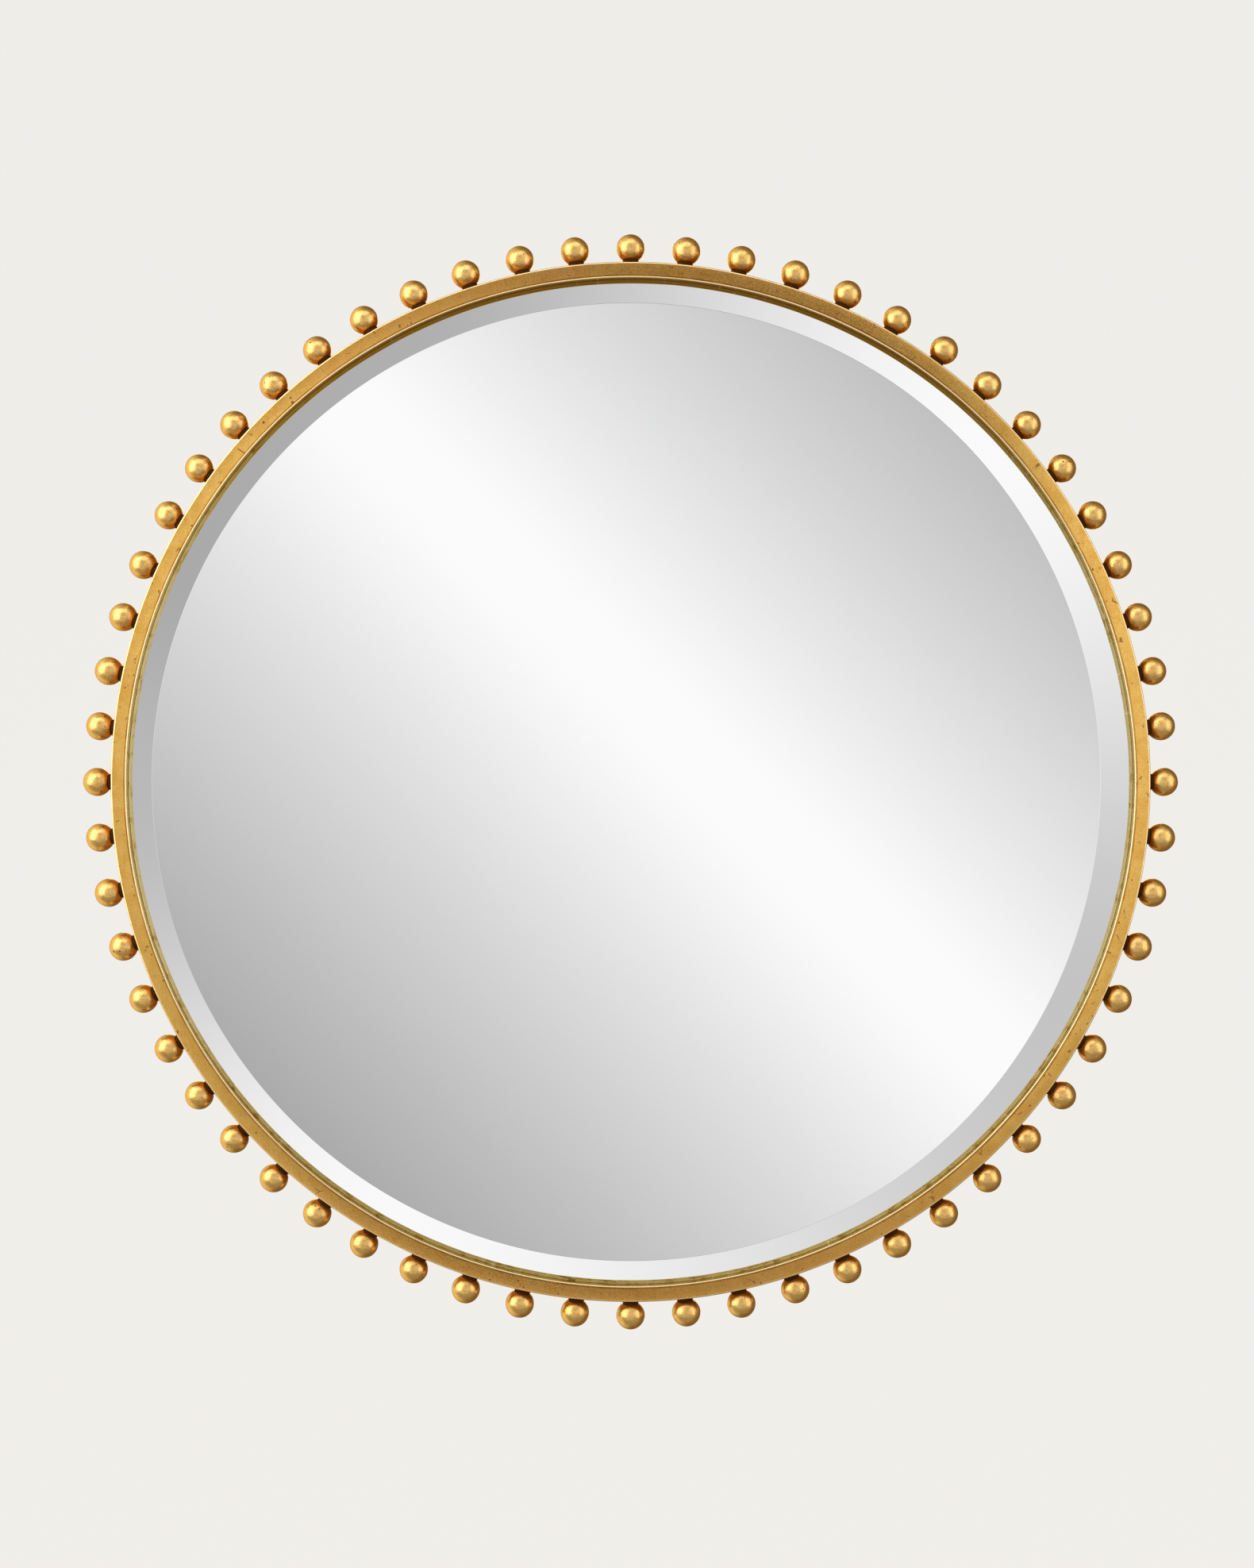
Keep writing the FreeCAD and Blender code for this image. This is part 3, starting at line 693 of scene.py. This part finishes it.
def bevelled_pane():
    """The pane as one closed body: its turned edge between a front and a rear disc."""
    points, faces = [], []
    for step in range(PANE_STEPS):
        angle = TURN * step / PANE_STEPS
        section = pane_section(angle)
        points += turned_about_depth(section, angle)
    rows = len(section)
    for step in range(PANE_STEPS):
        a, b = step * rows, (step + 1) % PANE_STEPS * rows
        faces += [(a + row, b + row, b + row + 1, a + row + 1) for row in range(rows - 1)]
    faces.append(tuple(step * rows for step in reversed(range(PANE_STEPS))))
    faces.append(tuple(step * rows + rows - 1 for step in range(PANE_STEPS)))
    mesh = mesh_from("bevelled_pane", points, faces, smooth=False)
    face_outwards(mesh)
    finished("bevelled_pane", mesh, pane_finish, ["mirror_glass"])


# ---------------------------------------------------------------- screws

SCREW_STEPS = 40
HEAD_RADIUS, HEAD_HEIGHT, HEAD_ROUND = 3.5 * MM, 2.2 * MM, 0.9 * MM
HEAD_ROUND_STEPS = 6
SHANK_RADIUS, SHANK_LENGTH = 1.7 * MM, 5.8 * MM
RECESS_HALF_LENGTH, RECESS_HALF_WIDTH, RECESS_DEPTH = 1.9 * MM, 0.42 * MM, 1.4 * MM
RECESS_LENGTH_TAPER, RECESS_WIDTH_TAPER = 0.45, 0.8
RECESS_OVERSHOOT = 1 * MM
CLIP_COUNT = 8
CLIP_FIRST = math.radians(22.5)
STRAP_SCREW_PITCH = 15 * MM
SCREW_SEED = 12


def lathe(section, steps):
    """A closed mesh turned about Y from (radius, y) points, the first and last on the axis."""
    shape = bmesh.new()
    rings = []
    for radius, y in section:
        if radius == 0:
            rings.append([shape.verts.new((0, y, 0))])
        else:
            rings.append([shape.verts.new((radius * math.cos(TURN * k / steps), y,
                                           radius * math.sin(TURN * k / steps)))
                          for k in range(steps)])
    for low, high in zip(rings, rings[1:]):
        for k in range(steps):
            n = (k + 1) % steps
            corners = [low[k % len(low)], low[n % len(low)],
                       high[n % len(high)], high[k % len(high)]]
            shape.faces.new(list(dict.fromkeys(corners)))
    bmesh.ops.recalc_face_normals(shape, faces=shape.faces)
    return shape


def cross_cutter():
    """Two tapered bars that cut the driver's cross into a screw head."""
    shape = bmesh.new()
    for turned in (0, math.pi / 2):
        bar = bmesh.ops.create_cube(shape, size=1)["verts"]
        for corner in bar:
            deep = corner.co.y < 0
            corner.co.x *= 2 * RECESS_HALF_LENGTH * (RECESS_LENGTH_TAPER if deep else 1.0)
            corner.co.z *= 2 * RECESS_HALF_WIDTH * (RECESS_WIDTH_TAPER if deep else 1.0)
            corner.co.y = -RECESS_DEPTH if deep else RECESS_OVERSHOOT
        bmesh.ops.rotate(shape, verts=bar, cent=(0, 0, 0), matrix=Matrix.Rotation(turned, 3, "Y"))
    bmesh.ops.recalc_face_normals(shape, faces=shape.faces)
    return shape


def as_object(name, shape):
    mesh = bpy.data.meshes.new(name)
    shape.to_mesh(mesh)
    shape.free()
    made = bpy.data.objects.new(name, mesh)
    bpy.context.scene.collection.objects.link(made)
    return made


def screw_mesh():
    """One pan-head screw. Its head's top is at y 0 and its tip points to -Y."""
    section = [(0, -HEAD_HEIGHT - SHANK_LENGTH),
               (SHANK_RADIUS, -HEAD_HEIGHT - SHANK_LENGTH + SHANK_RADIUS),
               (SHANK_RADIUS, -HEAD_HEIGHT),
               (HEAD_RADIUS, -HEAD_HEIGHT)]
    for step in range(HEAD_ROUND_STEPS + 1):
        swing = math.pi / 2 * step / HEAD_ROUND_STEPS
        section.append((HEAD_RADIUS - HEAD_ROUND * (1 - math.cos(swing)),
                        -HEAD_ROUND * (1 - math.sin(swing))))
    section.append((0, 0))
    body = as_object("screw_body", lathe(section, SCREW_STEPS))
    cutter = as_object("screw_cross", cross_cutter())
    cut = body.modifiers.new("cross", "BOOLEAN")
    cut.object = cutter
    cut.operation = "DIFFERENCE"
    cut.solver = "EXACT"
    cut.use_self = True
    graph = bpy.context.evaluated_depsgraph_get()
    mesh = bpy.data.meshes.new_from_object(body.evaluated_get(graph))
    for spare in (body, cutter):
        bpy.data.objects.remove(spare)
    return mesh


def set_of_screws(node_name, spots, draw):
    """Copies of one screw at (x, z) spots, each turned its own way, as one piece."""
    single = screw_mesh()
    head_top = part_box(node_name)[1].y
    shape = bmesh.new()
    for x, z in spots:
        before = len(shape.verts)
        shape.from_mesh(single)
        shape.verts.ensure_lookup_table()
        turned = Matrix.Rotation(draw.uniform(0, math.pi), 4, "Y")
        place = Matrix.Translation((x, head_top, z)) @ turned
        for corner in shape.verts[before:]:
            corner.co = place @ corner.co
    name = node_name + "_crosshead"
    mesh = bpy.data.meshes.new(name)
    shape.to_mesh(mesh)
    shape.free()
    mesh.polygons.foreach_set("use_smooth", [True] * len(mesh.polygons))
    mesh.set_sharp_from_angle(angle=SHARP_FROM)
    finished(name, mesh, screw_finish, [node_name])


def clip_screw_spots():
    """One screw in the foot of each clip."""
    reach = (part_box("clip_screws")[1].x - HEAD_RADIUS) / math.cos(CLIP_FIRST)
    turns = [CLIP_FIRST + TURN * number / CLIP_COUNT for number in range(CLIP_COUNT)]
    return [(reach * math.cos(turn), -reach * math.sin(turn)) for turn in turns]


def hanger_screw_spots():
    """Two screws down each of the two straps."""
    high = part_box("hanger_screws")[1]
    across = high.x - HEAD_RADIUS
    top = high.z - HEAD_RADIUS
    return [(side * across, top - drop) for side in (-1, 1) for drop in (0, STRAP_SCREW_PITCH)]


leafed_hoop()
gilt_balls()
flared_necks()
bevelled_pane()
screw_turns = random.Random(SCREW_SEED)
set_of_screws("clip_screws", clip_screw_spots(), screw_turns)
set_of_screws("hanger_screws", hanger_screw_spots(), screw_turns)


# ---------------------------------------------------------------- stage and light

FLOOR_LEVEL = -1.0
FLOOR_WIDTH, FLOOR_DEPTH = 3.0, 1.2
FLOOR_DIM = (0.74, 0.76, 0.80, 1)
FLOOR_BRIGHT = (0.78, 0.80, 0.84, 1)
CARD_DEPTH = -3.6
CARD_SIZE = 4.8
# How much larger a length on the card is than its image in the pane.
PANE_TO_CARD = (PANE_LOW.y - CARD_DEPTH) / (PANE_LOW.y - FACE_FRONT + CAMERA_DISTANCE) + 1

# The card's middle is what the pane's flat shows: a bright slanting ridge that falls off evenly.
# Its level and its fall are set as they look in the pane.
RIDGE_AT = 85 * METRES_PER_PX * PANE_TO_CARD
RIDGE_LEVEL = 261 / 255
RIDGE_FALL = 0.130 / 255 / (METRES_PER_PX * PANE_TO_CARD)
RIDGE_ROUNDING = 0.04
DISPLAY_GAMMA = 2.2
# Farther out lie a ring that lights the gilt face and, beyond it, what the bevel shows. Each fades
# in between two radii. Their levels, out of 255, stand at shares of a turn round the card: 0 left,
# 0.25 bottom, 0.5 right, 0.75 top.
RING_FROM = (1.17, 1.21)
BEVEL_FROM = (1.54, 1.60)
RING_LEVELS = [(0.0, 250), (0.125, 170), (0.19, 100), (0.25, 90), (0.30, 150), (0.375, 170),
               (0.5, 270), (0.59, 275), (0.63, 20), (0.76, 15), (0.80, 190), (0.84, 250),
               (0.93, 280), (1.0, 250)]
RING_WARMTH = 0.6
WARMTH_IN_GREEN = 0.4           # a warm tint dims the green by this share of what it dims the blue
BEVEL_LEVELS = [(0.0, 186), (0.167, 252), (0.43, 197), (0.62, 253), (0.83, 176), (0.93, 171),
                (1.0, 186)]

# The world as light: grey in front of the mirror, brown behind it at the right, pale behind it at
# the left, and a plain grey straight behind.
AHEAD_LOW = (0.40, 0.37, 0.31, 1)
AHEAD_HIGH = (0.57, 0.56, 0.53, 1)
BEHIND_RIGHT = (0.25, 0.185, 0.10, 1)
BEHIND_LEFT = (1.0, 0.94, 0.74, 1)
STRAIGHT_BEHIND = (0.42, 0.42, 0.41, 1)
# The world as the camera sees it.
BACKDROP_LOW = (0.880, 0.860, 0.828, 1)
BACKDROP_HIGH = (0.862, 0.845, 0.812, 1)
LAMP_WARM = (1.0, 0.97, 0.92)


def sheet(name, corners, material):
    """A single four-cornered sheet."""
    made = bpy.data.objects.new(name, mesh_from(name, corners, [(0, 1, 2, 3)], smooth=False))
    bpy.context.scene.collection.objects.link(made)
    made.data.materials.append(material)
    return made


def floor():
    """A pale floor well below the mirror, out of the main picture."""
    x, y = FLOOR_WIDTH / 2, FLOOR_DEPTH / 2
    corners = [(-x, -y, FLOOR_LEVEL), (x, -y, FLOOR_LEVEL),
               (x, y, FLOOR_LEVEL), (-x, y, FLOOR_LEVEL)]
    material, tree, shader = new_material("pale_floor")
    cloud = grain(tree, object_place(tree), 3, 3)
    plug(tree, shader, base_color=blend(tree, cloud, FLOOR_DIM, FLOOR_BRIGHT), roughness=0.8)
    made = sheet("floor", corners, material)
    made.visible_glossy = False


def linear(level):
    """The linear value of a display level out of 255."""
    return (level / 255) ** DISPLAY_GAMMA


def level_ramp(tree, factor, levels, warmth=0.0):
    """Light levels along a ramp. The dimmer a level is, the more warmth tints it."""
    made = node(tree, "ValToRGB", {0: factor})
    made.color_ramp.interpolation = "EASE"
    stops = made.color_ramp.elements
    while len(stops) < len(levels):
        stops.new(0.5)
    for stop, (where, level) in zip(stops, levels):
        tint = warmth * max(0.0, 1 - level / 255)
        stop.position = where
        red = linear(level)
        stop.color = (red, red * (1 - WARMTH_IN_GREEN * tint), red * (1 - tint), 1)
    return made.outputs[0]


def light_card():
    """The lit card behind the camera, which only reflections and the lighting see."""
    half = CARD_SIZE / 2
    corners = [(-half, 0, -half), (half, 0, -half), (half, 0, half), (-half, 0, half)]
    material = bpy.data.materials.new("light_card")
    material.use_nodes = True
    tree = material.node_tree
    tree.nodes.clear()
    place = object_place(tree)
    x, _, z = split(tree, place)
    across = times(tree, maths(tree, "ADD", x, z), math.sqrt(0.5))
    away = maths(tree, "ABSOLUTE", maths(tree, "SUBTRACT", across, RIDGE_AT))
    band = maths(tree, "SUBTRACT", RIDGE_LEVEL, times(tree, away, RIDGE_FALL))
    band = maths(tree, "SMOOTH_MIN", band, 1.0, RIDGE_ROUNDING)
    band = maths(tree, "POWER", band, DISPLAY_GAMMA)
    round_axis = maths(tree, "DIVIDE", maths(tree, "ARCTAN2", z, x), TURN)
    angle = maths(tree, "ADD", round_axis, 0.5)
    reach = distance_from_axis(tree, place)
    ring = level_ramp(tree, angle, RING_LEVELS, RING_WARMTH)
    bevel = level_ramp(tree, angle, BEVEL_LEVELS)
    to_ring = smooth_step(tree, reach, *RING_FROM)
    to_bevel = smooth_step(tree, reach, *BEVEL_FROM)
    seen = blend(tree, to_bevel, blend(tree, to_ring, band, ring), bevel)
    glow = node(tree, "Emission", {"Color": seen, "Strength": 1.0})
    out = node(tree, "OutputMaterial", {"Surface": glow.outputs[0]})
    out.is_active_output = True
    card = sheet("light_card", corners, material)
    card.location.y = CARD_DEPTH
    card.visible_camera = False
    card.visible_shadow = False


def soft_light(name, place, size, watts, colour=(1, 1, 1)):
    """A softbox aimed at the mirror's centre."""
    lamp = bpy.data.lights.new(name, "AREA")
    lamp.shape = "RECTANGLE"
    lamp.size, lamp.size_y = size
    lamp.energy = watts
    lamp.color = colour
    made = bpy.data.objects.new(name, lamp)
    made.location = place
    made.rotation_euler = (-Vector(place)).to_track_quat("-Z", "Y").to_euler()
    bpy.context.scene.collection.objects.link(made)
    made.visible_camera = False


def studio_world():
    """A pale backdrop for the camera and a dimmer, warmer room for every other ray."""
    world = bpy.data.worlds.new("studio")
    bpy.context.scene.world = world
    world.use_nodes = True
    tree = world.node_tree
    tree.nodes.clear()
    toward = node(tree, "TexCoord").outputs["Generated"]
    across, depth, height = split(tree, toward)
    to_behind = smooth_step(tree, depth, -0.35, 0.10)
    to_straight_behind = smooth_step(tree, depth, 0.80, 0.97)
    to_left = smooth_step(tree, across, 0.1, -0.7)
    ahead = blend(tree, smooth_step(tree, height, -0.75, 0.25), AHEAD_LOW, AHEAD_HIGH)
    light = blend(tree, to_behind, ahead, blend(tree, to_left, BEHIND_RIGHT, BEHIND_LEFT))
    light = blend(tree, to_straight_behind, light, STRAIGHT_BEHIND)
    backdrop = blend(tree, smooth_step(tree, height, -0.4, 0.5), BACKDROP_LOW, BACKDROP_HIGH)
    lit = node(tree, "Background", {"Color": light, "Strength": 1.0})
    shown = node(tree, "Background", {"Color": backdrop, "Strength": 1.0})
    which = node(tree, "LightPath").outputs["Is Camera Ray"]
    mixed = node(tree, "MixShader", {0: which, 1: lit.outputs[0], 2: shown.outputs[0]})
    node(tree, "OutputWorld", {"Surface": mixed.outputs[0]})


floor()
light_card()
studio_world()
soft_light("left_softbox", (-2.3, -1.5, 0.9), size=(2.4, 3.6), watts=60, colour=LAMP_WARM)
soft_light("right_softbox", (2.5, -1.45, 0.4), size=(1.7, 3.2), watts=19, colour=LAMP_WARM)
soft_light("top_softbox", (0.0, -1.6, 2.5), size=(2.8, 1.4), watts=16, colour=LAMP_WARM)
soft_light("rear_softbox", (0.0, 3.4, 0.5), size=(2.6, 2.0), watts=34)

camera_data = bpy.data.cameras.new("camera")
camera = bpy.data.objects.new("camera", camera_data)
bpy.context.scene.collection.objects.link(camera)
camera_data.sensor_width = SENSOR
camera_data.lens = SENSOR * CAMERA_DISTANCE / (PICTURE_HEIGHT * METRES_PER_PX)
camera.location = (-(MIRROR_CENTRE_PX[0] - PICTURE_WIDTH / 2) * METRES_PER_PX,
                   FACE_FRONT - CAMERA_DISTANCE,
                   (MIRROR_CENTRE_PX[1] - PICTURE_HEIGHT / 2) * METRES_PER_PX)
camera.rotation_euler = (math.pi / 2, 0, 0)
bpy.context.scene.camera = camera
bpy.context.scene.view_settings.view_transform = "Standard"
